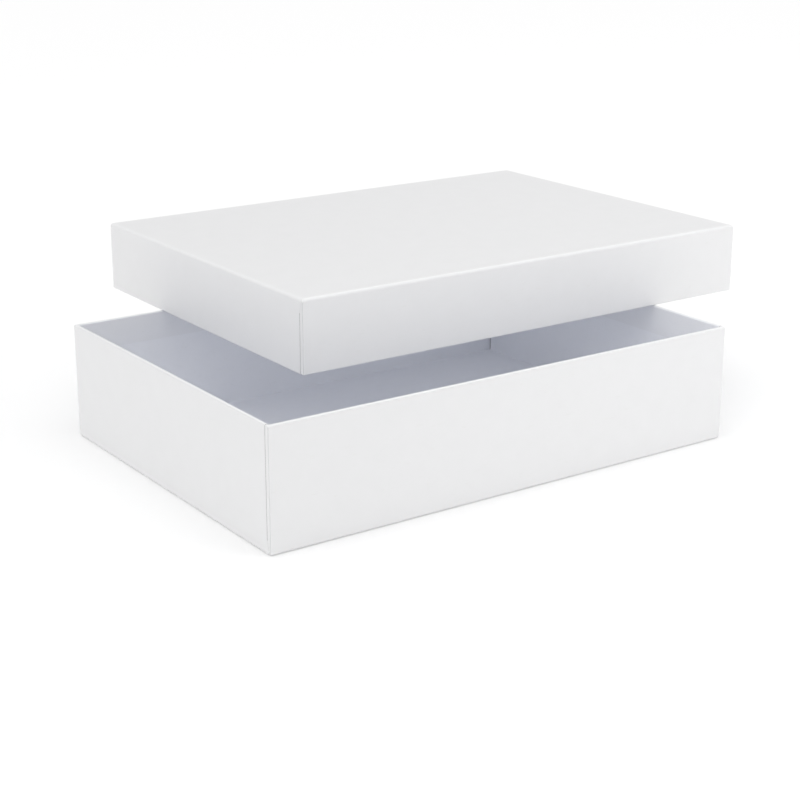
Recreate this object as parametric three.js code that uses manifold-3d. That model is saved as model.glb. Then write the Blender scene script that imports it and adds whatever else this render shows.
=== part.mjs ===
// A white rigid gift box with a lift-off lid, which lies ajar across the rim of its base.
// Each half is a tray: lined greyboard, scored and folded up, its corners taped, and covered outside with one sheet
// of paper that turns in over the rim. Millimetres, +Z up, long side along X, origin at the middle of the underside.
import * as THREE from "three";
import { mergeVertices } from "three/addons/utils/BufferGeometryUtils.js";
import Module from "manifold-3d";

const wasm = await Module();
wasm.setup();

// Overall sizes, outside
const baseLength = 310;
const baseWidth = 222;
const baseHeight = 69;
const lidHeight = 42;

// How the lid fits and where it lies
const lidClearance = 0.4; // on each side, between the skirt and the base when the box is shut
const lidAjar = { x: 59.1, y: 60.5 }; // how far the open lid lies off the middle of the base
const restGap = 0.3; // under the skirt, where it lies on the rim

// Board, paper and tape
const board = 1.5;
const paper = 0.2; // covering and lining paper
const tape = 0.15;
const glue = 0.05; // between any two layers
const tapeReach = 20; // along each wall from the corner
const turnIn = 17; // depth of the covering paper inside the rim
const cornerJoint = 0.5; // open joint between two walls of the board
const overshoot = 1; // how far a cut runs past what it cuts

// Edges, as radii of the covering paper's outside
const foldRadius = 1.6; // over the scored edges round the floor
const rimRadius = 0.8; // over the cut edge of the board
const cornerRadius = 0.9; // round the upright corners
const sharpest = 0.1; // the least radius of an inside corner
const foldSteps = 4;
const rimSteps = 3;
const cornerSteps = 3;

// The layers of a wall, as insets from its outside, and those of the floor, as heights above its underside
const tapeOuter = paper + glue;
const tapeInner = tapeOuter + tape;
const boardOuter = tapeInner + glue;
const boardInner = boardOuter + board;
const liningOuter = boardInner + glue;
const liningInner = liningOuter + paper;
const turnInOuter = liningInner + glue;
const wall = turnInOuter + paper; // at the rim, where the covering paper turns in over the lining
const boardBottom = paper + glue;
const boardTop = boardBottom + board;
const liningBottom = boardTop + glue;
const floor = liningBottom + paper;
const lidSpread = lidClearance + wall; // how far the lid stands out past the base on each side

const coverMaterial = new THREE.MeshStandardMaterial({ color: 0xf2f2f4, roughness: 0.55, metalness: 0 });
const liningMaterial = new THREE.MeshStandardMaterial({ color: 0xe4e6f0, roughness: 0.8, metalness: 0 });
const boardMaterial = new THREE.MeshStandardMaterial({ color: 0x9a948a, roughness: 0.95, metalness: 0 });
const tapeMaterial = new THREE.MeshStandardMaterial({ color: 0xcdb48a, roughness: 0.85, metalness: 0 });

// One rounded corner of a rectangle, `inset` in from its outside, anticlockwise as seen from above.
function cornerPoints(length, width, inset, quarter) {
  const radius = Math.max(cornerRadius - inset, sharpest);
  const signX = quarter === 0 || quarter === 3 ? 1 : -1;
  const signY = quarter < 2 ? 1 : -1;
  const centreX = signX * (length / 2 - inset - radius);
  const centreY = signY * (width / 2 - inset - radius);
  const points = [];
  for (let step = 0; step <= cornerSteps; step++) {
    const angle = (quarter + step / cornerSteps) * (Math.PI / 2);
    points.push(new THREE.Vector2(centreX + radius * Math.cos(angle), centreY + radius * Math.sin(angle)));
  }
  return points;
}

function outline(length, width, inset) {
  return [0, 1, 2, 3].flatMap((quarter) => cornerPoints(length, width, inset, quarter));
}

// A closed solid from a stack of outlines. `rings` runs from the middle of the underside, out and up round the
// section, to the middle of the inside, so its first and last outlines are filled in.
function trayFromRings(length, width, rings) {
  const positions = [];
  const faces = [];
  for (const { inset, z } of rings)
    for (const point of outline(length, width, inset)) positions.push(point.x, point.y, z);
  const count = outline(length, width, 0).length;
  for (let ring = 0; ring + 1 < rings.length; ring++)
    for (let i = 0; i < count; i++) {
      const a = ring * count + i;
      const b = ring * count + ((i + 1) % count);
      faces.push(a, b, b + count, a, b + count, a + count);
    }
  const last = (rings.length - 1) * count;
  for (let i = 1; i + 1 < count; i++) {
    faces.push(0, i + 1, i);
    faces.push(last, last + i, last + i + 1);
  }
  const geometry = new THREE.BufferGeometry();
  geometry.setAttribute("position", new THREE.Float32BufferAttribute(positions, 3));
  geometry.setIndex(faces);
  return geometry;
}

// Quarter circles of a section: each gives `steps` + 1 rings round the centre (inset, z), between two angles in
// degrees. 0 points inwards from the outer wall, 90 points up.
function arc(inset, z, radius, from, to, steps) {
  return Array.from({ length: steps + 1 }, (_, step) => {
    const angle = THREE.MathUtils.degToRad(from + ((to - from) * step) / steps);
    return { inset: inset + radius * Math.cos(angle), z: z + radius * Math.sin(angle) };
  });
}

// The covering paper: under the floor, up the outside, over the rim, down inside, and back along its glued face.
function coverRings(height) {
  const rim = height - rimRadius;
  const innerEdge = wall - rimRadius;
  const under = rimRadius - paper;
  return [
    ...arc(foldRadius, foldRadius, foldRadius, 270, 180, foldSteps),
    ...arc(rimRadius, rim, rimRadius, 180, 90, rimSteps),
    ...arc(innerEdge, rim, rimRadius, 90, 0, rimSteps),
    { inset: wall, z: height - turnIn },
    { inset: turnInOuter, z: height - turnIn },
    ...arc(innerEdge, rim, under, 0, 90, rimSteps),
    ...arc(rimRadius, rim, under, 90, 180, rimSteps),
    ...arc(foldRadius, foldRadius, foldRadius - paper, 180, 270, foldSteps),
  ];
}

// The board: its floor edges are bevelled where the half-cut score opens, and its rim is softened under the paper.
function boardRings(height) {
  return [
    { inset: foldRadius, z: boardBottom },
    { inset: boardOuter, z: foldRadius },
    { inset: boardOuter, z: height - rimRadius },
    { inset: rimRadius, z: height - boardBottom },
    { inset: wall - rimRadius, z: height - boardBottom },
    { inset: boardInner, z: height - rimRadius },
    { inset: boardInner, z: boardTop },
  ];
}

// The lining: glued to the floor and the walls before they fold up, and covered by the turned-in paper at the top.
function liningRings(height) {
  return [
    { inset: liningOuter, z: liningBottom },
    { inset: liningOuter, z: height - rimRadius },
    { inset: liningInner, z: height - rimRadius },
    { inset: liningInner, z: floor },
  ];
}

function toSolid(geometry) {
  const merged = mergeVertices(geometry);
  return new wasm.Manifold(
    new wasm.Mesh({
      numProp: 3,
      vertProperties: merged.getAttribute("position").array,
      triVerts: new Uint32Array(merged.index.array),
    }),
  );
}

function toGeometry(solid) {
  const mesh = solid.getMesh();
  const geometry = new THREE.BufferGeometry();
  geometry.setAttribute("position", new THREE.Float32BufferAttribute(mesh.vertProperties, 3));
  geometry.setIndex(Array.from(mesh.triVerts));
  return geometry;
}

// Opens the joint at each corner, from the floor up, where the end of a short wall meets the lined face of a long
// wall. `outer` is the inset at which the cut starts, and `bottom` the height of the floor that it leaves whole.
function openCorners(geometry, length, width, height, outer, bottom) {
  let solid = toSolid(geometry);
  const cutLength = liningInner + overshoot;
  const cutHeight = height - bottom + overshoot;
  const cutWidth = liningInner + cornerJoint - outer;
  for (const signX of [-1, 1])
    for (const signY of [-1, 1]) {
      const cut = new THREE.BoxGeometry(cutLength, cutWidth, cutHeight);
      cut.deleteAttribute("normal");
      cut.deleteAttribute("uv");
      cut.translate(
        signX * (length / 2 - liningInner + cutLength / 2),
        signY * (width / 2 - outer - cutWidth / 2),
        bottom + cutHeight / 2,
      );
      solid = solid.subtract(toSolid(cut));
    }
  return toGeometry(solid);
}

// The paper tape folded round one upright corner, between the board and the covering paper.
function cornerTape(length, width, height, quarter) {
  const outside = cornerPoints(length, width, tapeOuter, quarter);
  const inside = cornerPoints(length, width, tapeInner, quarter);
  const endOf = (points, index, along) => points[index].clone().add(along);
  const alongX = new THREE.Vector2(-Math.sign(outside[0].x) * tapeReach, 0);
  const alongY = new THREE.Vector2(0, -Math.sign(outside[0].y) * tapeReach);
  const [first, last] = quarter % 2 === 0 ? [alongY, alongX] : [alongX, alongY];
  const shape = new THREE.Shape([
    endOf(outside, 0, first),
    ...outside,
    endOf(outside, cornerSteps, last),
    endOf(inside, cornerSteps, last),
    ...inside.reverse(),
    endOf(inside, cornerSteps, first),
  ]);
  const geometry = new THREE.ExtrudeGeometry(shape, {
    depth: height - rimRadius - foldRadius,
    bevelEnabled: false,
  });
  geometry.translate(0, 0, foldRadius);
  return geometry;
}

function named(name, geometry, material) {
  const mesh = new THREE.Mesh(geometry, material);
  mesh.name = name;
  return mesh;
}

// One half of the box, open side up, as a group of its separate pieces.
function rigidTray(name, length, width, height) {
  const tray = new THREE.Group();
  const boardShell = trayFromRings(length, width, boardRings(height));
  const liningShell = trayFromRings(length, width, liningRings(height));
  const cutBoard = openCorners(boardShell, length, width, height, boardInner, boardTop);
  const cutLining = openCorners(liningShell, length, width, height, liningInner, floor);
  tray.add(named(`${name}_board`, cutBoard, boardMaterial));
  for (const quarter of [0, 1, 2, 3]) {
    const strip = cornerTape(length, width, height, quarter);
    tray.add(named(`${name}_corner_tape_${quarter + 1}`, strip, tapeMaterial));
  }
  tray.add(named(`${name}_cover`, trayFromRings(length, width, coverRings(height)), coverMaterial));
  tray.add(named(`${name}_lining`, cutLining, liningMaterial));
  return tray;
}

const base = rigidTray("base", baseLength, baseWidth, baseHeight);

const lid = rigidTray("lid", baseLength + 2 * lidSpread, baseWidth + 2 * lidSpread, lidHeight);
lid.rotation.x = Math.PI; // open side down
lid.position.set(lidAjar.x, lidAjar.y, baseHeight + restGap + lidHeight);

const giftBox = new THREE.Group();
giftBox.add(base, lid);
giftBox.updateMatrixWorld(true);

export default giftBox;
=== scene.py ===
import math

import bmesh
import bpy
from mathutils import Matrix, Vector


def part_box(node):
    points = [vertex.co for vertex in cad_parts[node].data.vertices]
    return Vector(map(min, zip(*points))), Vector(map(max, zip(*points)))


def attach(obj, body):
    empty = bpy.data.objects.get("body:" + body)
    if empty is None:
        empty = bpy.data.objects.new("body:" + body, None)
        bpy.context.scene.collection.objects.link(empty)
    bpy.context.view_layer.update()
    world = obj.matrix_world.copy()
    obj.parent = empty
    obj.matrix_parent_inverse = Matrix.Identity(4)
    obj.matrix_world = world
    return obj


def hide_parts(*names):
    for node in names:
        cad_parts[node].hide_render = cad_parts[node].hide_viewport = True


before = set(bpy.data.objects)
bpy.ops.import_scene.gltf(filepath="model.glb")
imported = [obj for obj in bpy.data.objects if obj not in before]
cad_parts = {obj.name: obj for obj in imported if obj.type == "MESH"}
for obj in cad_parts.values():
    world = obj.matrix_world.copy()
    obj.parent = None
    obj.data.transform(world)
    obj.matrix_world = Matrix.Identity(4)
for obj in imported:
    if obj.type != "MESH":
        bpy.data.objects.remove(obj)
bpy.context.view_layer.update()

mm = 0.001
print("frame loaded:", len(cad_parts), "CAD nodes")


# selecting and editing, as by hand

def deselectAll():
    bpy.ops.object.select_all(action="DESELECT")


def makeActive(piece):
    deselectAll()
    piece.select_set(True)
    bpy.context.view_layer.objects.active = piece


def openForEdit(piece):
    makeActive(piece)
    bpy.ops.object.mode_set(mode="EDIT")
    bpy.ops.mesh.select_all(action="DESELECT")


def closeEdit():
    bpy.ops.object.mode_set(mode="OBJECT")


def pickParts(piece, kind, test):
    bpy.ops.mesh.select_mode(type=kind)
    mesh = bmesh.from_edit_mesh(piece.data)
    parts = {"FACE": mesh.faces, "EDGE": mesh.edges, "VERT": mesh.verts}[kind]
    for part in parts:
        part.select_set(False)
    for part in [part for part in parts if test(part)]:
        part.select_set(True)
    bmesh.update_edit_mesh(piece.data)


def pickFaces(piece, test):
    pickParts(piece, "FACE", lambda face: test(face.calc_center_median(), face.normal))


def pickEdges(piece, test):
    pickParts(piece, "EDGE", lambda edge: test(edge.verts[0].co, edge.verts[1].co))


def pickPoints(piece, test):
    pickParts(piece, "VERT", lambda point: test(point.co))


hair = 0.01 * mm
facing = 0.9        # a normal faces along an axis when its part on that axis is more than this
across = 0.02       # and across it when less than this


def near(a, b, within=2 * hair):
    return abs(a - b) < within


def applyAll(piece):
    makeActive(piece)
    for modifier in list(piece.modifiers):
        bpy.ops.object.modifier_apply(modifier=modifier.name)


shadingSettings = {
    "smoothUnder": 40,         # degrees between faces
    "weight": 90,              # how far the large faces win
}


def finishShading(piece):
    makeActive(piece)
    bpy.ops.object.shade_smooth_by_angle(angle=math.radians(shadingSettings["smoothUnder"]))
    weighted = piece.modifiers.new("weighted", "WEIGHTED_NORMAL")
    weighted.keep_sharp = True
    weighted.weight = shadingSettings["weight"]
    applyAll(piece)


def boxSize(node):
    low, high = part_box(node)
    return high - low


# a half is made open side up, on the middle of its underside; the lid's is then turned over and put in place
def placeLid(piece):
    low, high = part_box("lid_cover")
    piece.rotation_euler = (math.pi, 0, 0)
    piece.location = ((low.x + high.x) / 2, (low.y + high.y) / 2, high.z)
    makeActive(piece)
    bpy.ops.object.transform_apply(location=True, rotation=True, scale=True)


# a box without its top, still open for editing
def openTray(name, size, bottom=0.0):
    deselectAll()
    bpy.ops.mesh.primitive_cube_add(size=1, location=(0, 0, bottom + size.z / 2))
    tray = bpy.context.object
    tray.name = name
    tray.scale = size
    bpy.ops.object.transform_apply(location=True, rotation=True, scale=True)
    openForEdit(tray)
    pickFaces(tray, lambda centre, normal: normal.z > facing)
    bpy.ops.mesh.delete(type="ONLY_FACE")
    return tray


# procedural papers, all on Object coordinates

def newMaterial(name):
    material = bpy.data.materials.new(name)
    material.use_nodes = True
    return material, material.node_tree.nodes, material.node_tree.links


def addNode(nodes, kind, **inputs):
    node = nodes.new(kind)
    for name, value in inputs.items():
        node.inputs[name.replace("_", " ")].default_value = value
    return node


def grey(value):
    return (value, value, value, 1)


cloudsFrom, cloudsTo = 0.3, 0.7             # the part of the noise that counts
colourA, colourB, colourOut = 6, 7, 2       # the colour sockets of a Mix node


# fine grain, cloudy formation and the faint texture of the board underneath
def paperMaterial(name, s):
    material, nodes, links = newMaterial(name)
    shader = nodes["Principled BSDF"]
    shader.inputs["Specular IOR Level"].default_value = s["specular"]
    place = nodes.new("ShaderNodeTexCoord")

    def noise(scale, detail, roughness=0.5):
        node = addNode(nodes, "ShaderNodeTexNoise", Scale=scale, Detail=detail, Roughness=roughness)
        links.new(place.outputs["Object"], node.inputs["Vector"])
        return node

    # cloudy tone, darker to lighter
    clouds = noise(s["cloudScale"], 4)
    tone = nodes.new("ShaderNodeValToRGB")
    tone.color_ramp.elements[0].position = cloudsFrom
    tone.color_ramp.elements[1].position = cloudsTo
    tone.color_ramp.elements[0].color = s["dark"]
    tone.color_ramp.elements[1].color = s["light"]
    links.new(clouds.outputs["Fac"], tone.inputs["Fac"])

    # short fibres, drawn out along the sheet
    stretch = nodes.new("ShaderNodeMapping")
    stretch.inputs["Scale"].default_value = s["fibreStretch"]
    links.new(place.outputs["Object"], stretch.inputs["Vector"])
    fibres = addNode(nodes, "ShaderNodeTexNoise", Scale=s["fibreScale"], Detail=3, Roughness=0.6)
    links.new(stretch.outputs["Vector"], fibres.inputs["Vector"])
    flecks = nodes.new("ShaderNodeValToRGB")
    flecks.color_ramp.elements[0].position = s["fleckFrom"]
    flecks.color_ramp.elements[1].position = s["fleckTo"]
    flecks.color_ramp.elements[0].color = (0, 0, 0, 1)
    flecks.color_ramp.elements[1].color = grey(s["fleckAmount"])
    links.new(fibres.outputs["Fac"], flecks.inputs["Fac"])
    colour = nodes.new("ShaderNodeMix")
    colour.data_type = "RGBA"
    colour.inputs[colourB].default_value = s["fleck"]
    links.new(flecks.outputs["Color"], colour.inputs[0])
    links.new(tone.outputs["Color"], colour.inputs[colourA])
    links.new(colour.outputs[colourOut], shader.inputs["Base Color"])

    # the finish is a little duller where the sheet is cloudy
    dullness = nodes.new("ShaderNodeMapRange")
    dullness.inputs["From Min"].default_value = cloudsFrom
    dullness.inputs["From Max"].default_value = cloudsTo
    dullness.inputs["To Min"].default_value = s["roughness"] - s["roughnessSpread"]
    dullness.inputs["To Max"].default_value = s["roughness"] + s["roughnessSpread"]
    links.new(clouds.outputs["Fac"], dullness.inputs["Value"])
    links.new(dullness.outputs["Result"], shader.inputs["Roughness"])

    # relief: board texture first, then the grain of the paper on it
    relief = noise(s["reliefScale"], 2)
    boardBump = addNode(nodes, "ShaderNodeBump", Strength=1, Distance=s["reliefDepth"])
    links.new(relief.outputs["Fac"], boardBump.inputs["Height"])
    grain = noise(s["grainScale"], 3, 0.65)
    grainBump = addNode(nodes, "ShaderNodeBump", Strength=1, Distance=s["grainDepth"])
    links.new(grain.outputs["Fac"], grainBump.inputs["Height"])
    links.new(boardBump.outputs["Normal"], grainBump.inputs["Normal"])
    links.new(grainBump.outputs["Normal"], shader.inputs["Normal"])
    return material


coverPaper = paperMaterial("coverPaper", {
    "roughness": 0.44,
    "roughnessSpread": 0.012,
    "specular": 0.5,
    "cloudScale": 90,
    "dark": (0.806, 0.807, 0.813, 1),
    "light": (0.816, 0.817, 0.823, 1),
    "fibreScale": 500,
    "fibreStretch": (0.35, 1, 1),
    "fleckFrom": 0.62,
    "fleckTo": 0.80,
    "fleckAmount": 0.5,
    "fleck": (0.77, 0.77, 0.76, 1),
    "reliefScale": 260,
    "reliefDepth": 0.012 * mm,
    "grainScale": 2600,
    "grainDepth": 0.004 * mm,
})

liningPaper = paperMaterial("liningPaper", {
    "roughness": 0.78,
    "roughnessSpread": 0.05,
    "specular": 0.35,
    "cloudScale": 110,
    "dark": (0.868, 0.878, 0.912, 1),
    "light": (0.878, 0.888, 0.919, 1),
    "fibreScale": 700,
    "fibreStretch": (0.3, 1, 1),
    "fleckFrom": 0.58,
    "fleckTo": 0.80,
    "fleckAmount": 0.6,
    "fleck": (0.81, 0.82, 0.84, 1),
    "reliefScale": 320,
    "reliefDepth": 0.015 * mm,
    "grainScale": 2200,
    "grainDepth": 0.010 * mm,
})

# the turned-in part of the cover, pressed on damp glue: a little duller, and tinted by the lining under it
turnInPaper = paperMaterial("turnInPaper", {
    "roughness": 0.6,
    "roughnessSpread": 0.03,
    "specular": 0.45,
    "cloudScale": 110,
    "dark": (0.835, 0.842, 0.870, 1),
    "light": (0.846, 0.853, 0.878, 1),
    "fibreScale": 600,
    "fibreStretch": (0.35, 1, 1),
    "fleckFrom": 0.60,
    "fleckTo": 0.80,
    "fleckAmount": 0.5,
    "fleck": (0.79, 0.80, 0.81, 1),
    "reliefScale": 260,
    "reliefDepth": 0.014 * mm,
    "grainScale": 2600,
    "grainDepth": 0.006 * mm,
})

# painted shade: a darker copy of the cover paper down each rounded upright corner
paintedCornerShade = paperMaterial("paintedCornerShade", {
    "roughness": 0.6,
    "roughnessSpread": 0.05,
    "specular": 0.4,
    "cloudScale": 200,
    "dark": (0.68, 0.68, 0.685, 1),
    "light": (0.74, 0.74, 0.745, 1),
    "fibreScale": 700,
    "fibreStretch": (1, 1, 0.3),
    "fleckFrom": 0.55,
    "fleckTo": 0.80,
    "fleckAmount": 0.5,
    "fleck": (0.60, 0.60, 0.59, 1),
    "reliefScale": 600,
    "reliefDepth": 0.012 * mm,
    "grainScale": 2600,
    "grainDepth": 0.006 * mm,
})

cutEdge = paperMaterial("cutEdge", {
    "roughness": 0.9,
    "roughnessSpread": 0.05,
    "specular": 0.3,
    "cloudScale": 400,
    "dark": (0.72, 0.72, 0.72, 1),
    "light": (0.80, 0.80, 0.79, 1),
    "fibreScale": 3000,
    "fibreStretch": (0.3, 1, 1),
    "fleckFrom": 0.5,
    "fleckTo": 0.75,
    "fleckAmount": 0.7,
    "fleck": (0.5, 0.49, 0.47, 1),
    "reliefScale": 2000,
    "reliefDepth": 0.01 * mm,
    "grainScale": 5000,
    "grainDepth": 0.01 * mm,
})

# painted shadow: a dark copy of the paper for the shade in the gap beside a raised cut edge and under the
# edge of the turn-in
paintedEdgeShadow = paperMaterial("paintedEdgeShadow", {
    "roughness": 0.6,
    "roughnessSpread": 0.1,
    "specular": 0.3,
    "cloudScale": 150,
    "dark": (0.24, 0.24, 0.25, 1),
    "light": (0.40, 0.40, 0.40, 1),
    "fibreScale": 1500,
    "fibreStretch": (1, 1, 0.3),
    "fleckFrom": 0.5,
    "fleckTo": 0.75,
    "fleckAmount": 0.5,
    "fleck": (0.30, 0.30, 0.29, 1),
    "reliefScale": 1200,
    "reliefDepth": 0.02 * mm,
    "grainScale": 4000,
    "grainDepth": 0.01 * mm,
})

greyboard = paperMaterial("greyboard", {
    "roughness": 0.93,
    "roughnessSpread": 0.04,
    "specular": 0.2,
    "cloudScale": 120,
    "dark": (0.26, 0.25, 0.23, 1),
    "light": (0.37, 0.355, 0.33, 1),
    "fibreScale": 900,
    "fibreStretch": (0.25, 1, 1),
    "fleckFrom": 0.55,
    "fleckTo": 0.72,
    "fleckAmount": 0.9,
    "fleck": (0.17, 0.16, 0.15, 1),
    "reliefScale": 400,
    "reliefDepth": 0.04 * mm,
    "grainScale": 2500,
    "grainDepth": 0.03 * mm,
})

kraftTape = paperMaterial("kraftTape", {
    "roughness": 0.7,
    "roughnessSpread": 0.08,
    "specular": 0.35,
    "cloudScale": 180,
    "dark": (0.50, 0.36, 0.21, 1),
    "light": (0.62, 0.46, 0.28, 1),
    "fibreScale": 900,
    "fibreStretch": (1, 1, 0.2),
    "fleckFrom": 0.55,
    "fleckTo": 0.75,
    "fleckAmount": 0.8,
    "fleck": (0.36, 0.24, 0.13, 1),
    "reliefScale": 500,
    "reliefDepth": 0.02 * mm,
    "grainScale": 2600,
    "grainDepth": 0.015 * mm,
})
print("papers mixed")


# the covering paper of one half: one sheet under the floor, up the walls, over the rim and down inside

coverSettings = {
    "paper": 0.2 * mm,
    "wall": 2.45 * mm,        # thickness at the rim, folded paper and all
    "turnIn": 17 * mm,        # depth inside the rim
    "foldRadius": 2.0 * mm,   # over the scored board round the floor
    "foldSegments": 6,
    "rimRadius": 0.8 * mm,    # over the cut edge of the board
    "rimSegments": 4,
    "cornerRadius": 0.5 * mm,
    "cornerSegments": 4,
    "cornerShadeFrom": 0.5,       # the middle of that corner gets the painted shade, by its normal
    "innerCorner": 0.15 * mm,
    "innerSegments": 2,
    "lap": 0.14 * mm,         # the short panels lie this far out over the wings of the long ones
    "setBack": 2.9 * mm,      # from the corner to the cut edge of a short panel
    "taper": 6 * mm,          # over this height the cut edge runs out to the corner
    "tip": 0.19 * mm,         # left between the end of the cut edge and the corner
    "paintedEdgeShadow": 0.22 * mm,    # the painted shadow line along the cut edge
    "pressedPart": 0.5,       # thickness left where the wings are pressed flat
    "wave": 0.6 * mm,         # how far the edge of the turn-in wanders
    "waveLength": 45 * mm,
    "waveFrom": 20 * mm,      # only edges longer than this wander
    "waveCuts": 60,
}


def assignPaper(piece, paper):
    piece.active_material_index = piece.data.materials.find(paper.name)
    bpy.ops.object.material_slot_assign()


def shift(x=0.0, y=0.0, z=0.0):
    bpy.ops.transform.translate(value=(x, y, z))


def makeGroup(piece, name):
    bpy.ops.object.vertex_group_assign_new()
    piece.vertex_groups.active.name = name


# the points of the group that also pass the test
def pickFromGroup(piece, test):
    bpy.ops.mesh.select_mode(type="VERT")
    bpy.ops.mesh.select_all(action="DESELECT")
    bpy.ops.object.vertex_group_select()
    mesh = bmesh.from_edit_mesh(piece.data)
    for point in [point for point in mesh.verts if point.select and not test(point.co)]:
        point.select_set(False)
    bmesh.update_edit_mesh(piece.data)


def makeCover(name, size, s):
    lap, rimRadius, foldRadius = s["lap"], s["rimRadius"], s["foldRadius"]
    mitreSlack, innerSlack = 0.2 * mm, 0.05 * mm
    length, width, height = size.x - 2 * lap, size.y, size.z - lap
    halfX, halfY = length / 2, width / 2
    innerX, innerY = size.x / 2 - s["wall"] + lap, size.y / 2 - s["wall"]
    arcBase = height - rimRadius
    turnInEnd = size.z - s["turnIn"]
    tray = openTray(name, Vector((length, width, height)))
    for material in (coverPaper, turnInPaper, paintedEdgeShadow, cutEdge, paintedCornerShade):
        tray.data.materials.append(material)

    # over the rim and down inside
    pickEdges(tray, lambda a, b: near(a.z, height) and near(b.z, height))
    bpy.ops.mesh.extrude_region_move()
    bpy.ops.transform.resize(value=(innerX / halfX, innerY / halfY, 1), center_override=(0, 0, height))
    bpy.ops.mesh.extrude_region_move(TRANSFORM_OT_translate={"value": (0, 0, turnInEnd - height)})

    # folds round the floor and over the rim
    pickEdges(tray, lambda a, b: near(a.z, 0) and near(b.z, 0))
    bpy.ops.mesh.bevel(offset=foldRadius, segments=s["foldSegments"], affect="EDGES")
    pickEdges(tray, lambda a, b: near(a.z, height) and near(b.z, height)
              and (near(a.x, b.x) or near(a.y, b.y)))
    bpy.ops.mesh.bevel(offset=rimRadius, segments=s["rimSegments"], affect="EDGES")

    # upright corners, outside and then inside
    def inset(point):
        return halfY - abs(point.y)

    def mitred(a, b):
        onMitre = all(near(halfX - abs(p.x), inset(p), mitreSlack) for p in (a, b))
        return onMitre and not near(a.z, b.z) and max(inset(a), inset(b)) < foldRadius + hair

    pickEdges(tray, mitred)
    bpy.ops.mesh.bevel(offset=s["cornerRadius"], segments=s["cornerSegments"], affect="EDGES")

    def mitredInside(a, b):
        onMitre = all(near(abs(p.x) - innerX, abs(p.y) - innerY, innerSlack) for p in (a, b))
        within = all(abs(p.x) < innerX + rimRadius + hair for p in (a, b))
        return onMitre and within and not near(a.z, b.z) and min(a.z, b.z) > height / 4

    pickEdges(tray, mitredInside)
    bpy.ops.mesh.bevel(offset=s["innerCorner"], segments=s["innerSegments"], affect="EDGES")

    # the short panels end in cut edges beside each corner
    cut = halfY - s["setBack"]
    lines = (cut, cut + s["paintedEdgeShadow"])

    def onShortSide(centre, normal):
        return abs(normal.y) < across and abs(centre.x) > innerX - hair

    for side in (-1, 1):
        for line in lines:
            pickFaces(tray, onShortSide)
            bpy.ops.mesh.bisect(plane_co=(0, side * line, 0), plane_no=(0, 1, 0))
    pickFaces(tray, lambda c, n: onShortSide(c, n) and near(abs(c.x), halfX) and c.z < arcBase)
    bpy.ops.mesh.bisect(plane_co=(0, 0, foldRadius + s["taper"]), plane_no=(0, 0, 1))

    # each is lifted over the wings of the long panels, from the floor to the end of the turn-in
    swell = (rimRadius + lap) / rimRadius
    for side in (-1, 1):
        pickFaces(tray, lambda c, n: onShortSide(c, n) and c.x * side > 0 and abs(c.y) < cut)
        bpy.ops.mesh.extrude_region_move()
        makeGroup(tray, "panel")
        pickFromGroup(tray, lambda p: abs(p.x) > halfX - foldRadius - hair and p.z < arcBase - hair)
        shift(x=side * lap)
        pickFromGroup(tray, lambda p: abs(p.x) > halfX - rimRadius - hair and p.z > arcBase - hair)
        bpy.ops.transform.resize(value=(swell, 1, swell),
                                 center_override=(side * (halfX - rimRadius), 0, arcBase))
        pickFromGroup(tray, lambda p: abs(p.x) < innerX + rimRadius + hair and p.z > arcBase - hair)
        bpy.ops.transform.resize(value=(swell, 1, swell),
                                 center_override=(side * (innerX + rimRadius), 0, arcBase))
        pickFromGroup(tray, lambda p: abs(p.x) < innerX + hair and p.z < arcBase - hair)
        shift(x=-side * lap)
        pickFaces(tray, lambda c, n: near(c.z, turnInEnd) and abs(n.z) > facing)
        bpy.ops.mesh.delete(type="FACE")

    # the finish of each part of the sheet, with a painted shadow line by each cut edge and painted shade
    # down each upright corner
    pickFaces(tray, lambda c, n: c.z > turnInEnd - hair
              and abs(c.x) < innerX + rimRadius / 2 and abs(c.y) < innerY + rimRadius / 2)
    assignPaper(tray, turnInPaper)
    pickFaces(tray, lambda c, n: near(abs(c.y), cut) and abs(n.y) > facing)
    assignPaper(tray, cutEdge)
    # a painted shadow line beside each cut edge, above the taper
    pickFaces(tray, lambda c, n: onShortSide(c, n) and lines[0] < abs(c.y) < lines[1]
              and c.z > foldRadius + s["taper"])
    assignPaper(tray, paintedEdgeShadow)
    # painted shade down the middle of each upright corner
    pickFaces(tray, lambda c, n: min(abs(n.x), abs(n.y)) > s["cornerShadeFrom"]
              and abs(c.x) > innerX + rimRadius and foldRadius < c.z < arcBase)
    assignPaper(tray, paintedCornerShade)

    # by the floor the cut edge runs out to the corner, ring by ring round the fold
    for ring in range(s["foldSegments"] + 1):
        angle = ring / s["foldSegments"] * math.pi / 2
        level = foldRadius * (1 - math.cos(angle))
        end = halfY - foldRadius * (1 - math.sin(angle)) - s["cornerRadius"] * math.sqrt(2) - s["tip"]
        for side in (-1, 1):
            for step, line in enumerate(lines):
                pickPoints(tray, lambda p: near(p.z, level) and near(p.y, side * line) and abs(p.x) > innerX)
                shift(y=side * (end + step * s["tip"] / 2 - line))

    # the paper under a cut edge is thinner, where the wings were pressed flat
    bpy.ops.mesh.select_all(action="DESELECT")
    pickPoints(tray, lambda p: near(abs(p.x), halfX) and foldRadius < p.z < arcBase + hair)
    makeGroup(tray, "pressed")

    # the turned-in edge was cut by hand, so it wanders a little
    pickEdges(tray, lambda a, b: near(a.z, turnInEnd) and near(b.z, turnInEnd)
              and (a - b).length > s["waveFrom"])
    bpy.ops.mesh.subdivide(number_cuts=s["waveCuts"])
    pickPoints(tray, lambda p: near(p.z, turnInEnd))
    makeGroup(tray, "turnInEdge")
    closeEdit()

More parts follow.
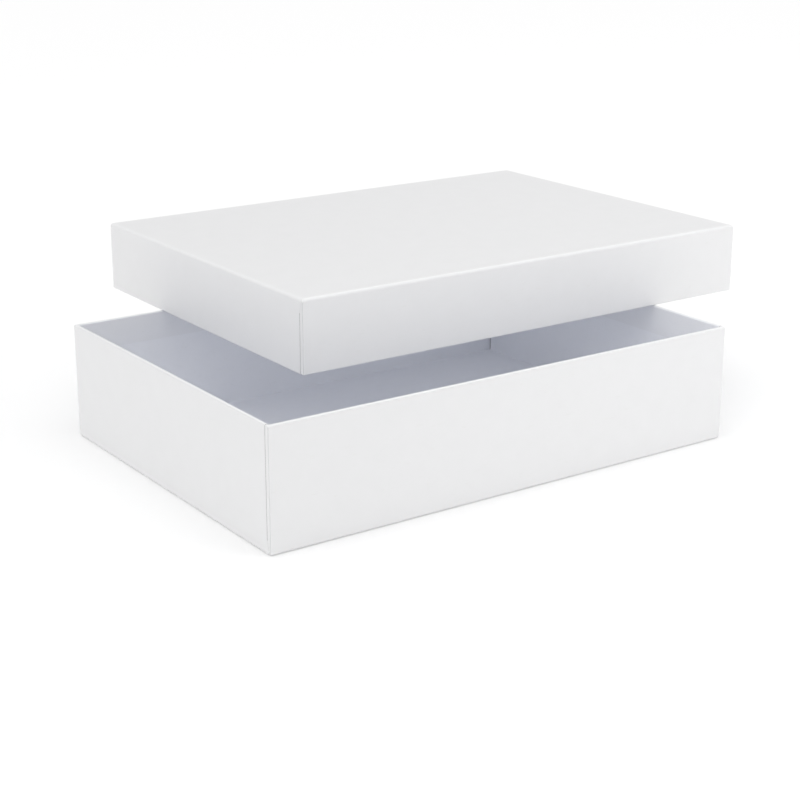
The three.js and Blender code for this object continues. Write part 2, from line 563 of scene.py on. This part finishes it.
    wave = bpy.data.textures.new("turnInWave", "CLOUDS")
    wave.noise_scale = s["waveLength"]
    wander = tray.modifiers.new("wander", "DISPLACE")
    wander.texture = wave
    wander.texture_coords = "GLOBAL"
    wander.direction = "Z"
    wander.strength = s["wave"]
    wander.vertex_group = "turnInEdge"
    solid = tray.modifiers.new("paper", "SOLIDIFY")
    solid.thickness = s["paper"]
    solid.offset = -1
    solid.use_even_offset = True
    solid.vertex_group = "pressed"
    solid.invert_vertex_group = True
    solid.thickness_vertex_group = s["pressedPart"]
    solid.material_offset_rim = 1    # the edge of the turn-in gets the dark painted shadow line
    applyAll(tray)
    tray.vertex_groups.clear()
    finishShading(tray)
    return tray


# the lining of one half: a sheet creased round the floor, with an open joint at each upright corner

liningSettings = {
    "paper": 0.2 * mm,
    "crease": 0.9 * mm,
    "creaseSegments": 4,
    "joint": 0.5 * mm,
}


def makeLining(name, size, bottom, s):
    inner = size - Vector((2 * s["paper"], 2 * s["paper"], s["paper"]))
    floorTop = bottom + s["paper"]
    tray = openTray(name, inner, floorTop)
    for material in (liningPaper, cutEdge):
        tray.data.materials.append(material)
    pickEdges(tray, lambda a, b: near(a.z, floorTop) and near(b.z, floorTop))
    bpy.ops.mesh.bevel(offset=s["crease"], segments=s["creaseSegments"], affect="EDGES")
    cut = inner.y / 2 - s["joint"]

    def onShortSide(centre, normal):
        return abs(normal.y) < across < abs(normal.x)

    for side in (-1, 1):
        pickFaces(tray, onShortSide)
        bpy.ops.mesh.bisect(plane_co=(0, side * cut, 0), plane_no=(0, 1, 0))
    pickFaces(tray, lambda c, n: onShortSide(c, n) and abs(c.y) > cut)
    bpy.ops.mesh.delete(type="FACE")
    closeEdit()
    solid = tray.modifiers.new("paper", "SOLIDIFY")
    solid.thickness = s["paper"]
    solid.offset = 1
    solid.material_offset_rim = 1
    applyAll(tray)
    finishShading(tray)
    return tray


def addPiece(piece, body, node):
    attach(piece, body)
    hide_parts(node)


# the linings stand this far above the underside of their half
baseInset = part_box("base_lining")[0].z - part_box("base_cover")[0].z
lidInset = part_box("lid_cover")[1].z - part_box("lid_lining")[1].z
baseCover = makeCover("baseCover", boxSize("base_cover"), coverSettings)
lidCover = makeCover("lidCover", boxSize("lid_cover"), coverSettings)
baseLining = makeLining("baseLining", boxSize("base_lining"), baseInset, liningSettings)
lidLining = makeLining("lidLining", boxSize("lid_lining"), lidInset, liningSettings)
placeLid(lidCover)
placeLid(lidLining)
addPiece(baseCover, "base", "base_cover")
addPiece(lidCover, "lid", "lid_cover")
addPiece(baseLining, "base", "base_lining")
addPiece(lidLining, "lid", "lid_lining")
coverFaces, liningFaces = len(baseCover.data.polygons), len(baseLining.data.polygons)
print("covers and linings folded:", coverFaces, "and", liningFaces, "faces")

# the boards and the tapes at their corners keep their CAD shape
for name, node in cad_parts.items():
    node.data.materials.clear()
    node.data.materials.append(kraftTape if "tape" in name else greyboard)


# camera, floor and light

cameraSettings = {
    "azimuth": -34.9,         # degrees round from looking along +Y
    "elevation": 16.88,
    "distance": 1.016,
    "aside": 0.7 * mm,
    "raised": 12.8 * mm,
    "lens": 77.45,
    "sensor": 36,
    "shift": -0.05,
    "farthest": 50,
}


def makeCamera(s):
    azimuth, elevation = math.radians(s["azimuth"]), math.radians(s["elevation"])
    level = math.cos(elevation)
    back = Vector((math.sin(azimuth) * level, -math.cos(azimuth) * level, math.sin(elevation)))
    right = Vector((math.cos(azimuth), math.sin(azimuth), 0))
    up = back.cross(right)
    middle = Vector((0, 0, boxSize("base_cover").z / 2))
    place = middle + back * s["distance"] + right * s["aside"] + up * s["raised"]
    bpy.ops.object.camera_add(location=place, rotation=(math.pi / 2 - elevation, 0, azimuth))
    camera = bpy.context.object
    camera.data.lens = s["lens"]
    camera.data.sensor_width = s["sensor"]
    camera.data.shift_y = s["shift"]
    camera.data.clip_end = s["farthest"]
    bpy.context.scene.camera = camera


studioSettings = {
    "floorSize": 16,
    "floorColour": 0.92,
    "floorRoughness": 0.9,
    "floorGlow": 0.04,
    "glows": {                 # broad glows of the room: towards, strength
        "overhead": ((0, 0, 1), 1.565),
        "leftWall": ((-1, 0, 0.35), 0.88),
        "rightWall": ((1, 0, 0.35), 0.35),
    },
    "glowWidth": 2,            # a higher power draws a glow together
    "boxes": {                 # softboxes: degrees round and up, metres away, metres wide, watts
        "rightBox": (40, 15, 1.6, 1.2, 8.3),
    },
    "bounces": 8,              # between the white walls inside the box
}


def makeFloor(s):
    deselectAll()
    bpy.ops.mesh.primitive_plane_add(size=s["floorSize"], location=(0, 0, 0))
    floor = bpy.context.object
    floor.name = "floor"
    material, nodes, links = newMaterial("floorWhite")
    shader = nodes["Principled BSDF"]
    shader.inputs["Base Color"].default_value = grey(s["floorColour"])
    shader.inputs["Roughness"].default_value = s["floorRoughness"]
    shader.inputs["Emission Color"].default_value = grey(1)
    shader.inputs["Emission Strength"].default_value = s["floorGlow"]
    floor.data.materials.append(material)


def makeLights(s):
    for name, (azimuth, elevation, distance, size, watts) in s["boxes"].items():
        azimuth, elevation = math.radians(azimuth), math.radians(elevation)
        level = math.cos(elevation)
        toward = Vector((math.sin(azimuth) * level, -math.cos(azimuth) * level, math.sin(elevation)))
        bpy.ops.object.light_add(type="AREA", location=toward * distance,
                                 rotation=(math.pi / 2 - elevation, 0, azimuth))
        box = bpy.context.object
        box.name = name
        box.data.size = size
        box.data.energy = watts
        box.visible_glossy = False    # it lights the paper and leaves no glare on it


def makeRoom(s):
    world = bpy.data.worlds.new("studio")
    bpy.context.scene.world = world
    world.use_nodes = True
    nodes, links = world.node_tree.nodes, world.node_tree.links
    direction = nodes.new("ShaderNodeTexCoord")
    total = None
    for toward, strength in s["glows"].values():
        along = nodes.new("ShaderNodeVectorMath")
        along.operation = "DOT_PRODUCT"
        along.inputs[1].default_value = Vector(toward).normalized()
        links.new(direction.outputs["Generated"], along.inputs[0])
        last = along.outputs["Value"]
        for operation, value in (("MAXIMUM", 0), ("POWER", s["glowWidth"]), ("MULTIPLY", strength)):
            step = nodes.new("ShaderNodeMath")
            step.operation = operation
            step.inputs[1].default_value = value
            links.new(last, step.inputs[0])
            last = step.outputs["Value"]
        if total:
            both = nodes.new("ShaderNodeMath")
            links.new(total, both.inputs[0])
            links.new(last, both.inputs[1])
            last = both.outputs["Value"]
        total = last
    links.new(total, nodes["Background"].inputs["Strength"])
    nodes["Background"].inputs["Color"].default_value = grey(1)
    bpy.context.scene.cycles.diffuse_bounces = s["bounces"]


makeCamera(cameraSettings)
makeFloor(studioSettings)
makeLights(studioSettings)
makeRoom(studioSettings)
bpy.context.scene.view_settings.view_transform = "Standard"
print("studio set")
